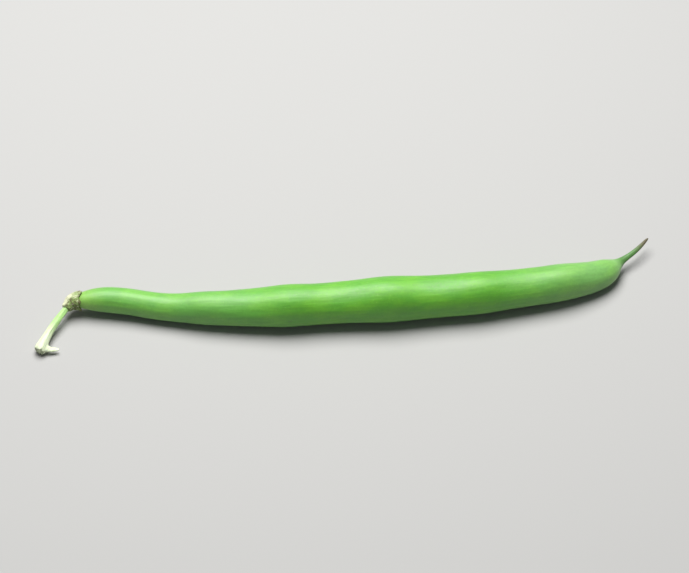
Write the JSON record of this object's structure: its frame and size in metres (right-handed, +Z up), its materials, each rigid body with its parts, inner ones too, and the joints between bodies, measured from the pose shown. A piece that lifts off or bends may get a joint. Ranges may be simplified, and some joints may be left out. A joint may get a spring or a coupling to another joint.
{
  "type": "green bean",
  "caption": "Slender, gently bowed green bean pod with seed swellings, a tapered beak with a thin tail, a small lobed calyx and a curved stalk with a torn foot.",
  "frame": {"origin": "on the surface that the bean lies on, under the centre of its bounding box", "axes": "+Z up, +X along the bean from its stalk end to its tail, +Y towards the hollow side of its bend"},
  "size_m": [0.125, 0.0288, 0.0092],
  "materials": {
    "pod_skin": "satin",
    "calyx_skin": "matte",
    "stalk_skin": "matte"
  },
  "bodies": {
    "root": {"pod": "pod_skin", "calyx": "calyx_skin", "stalk": "stalk_skin"}
  },
  "joints": []
}
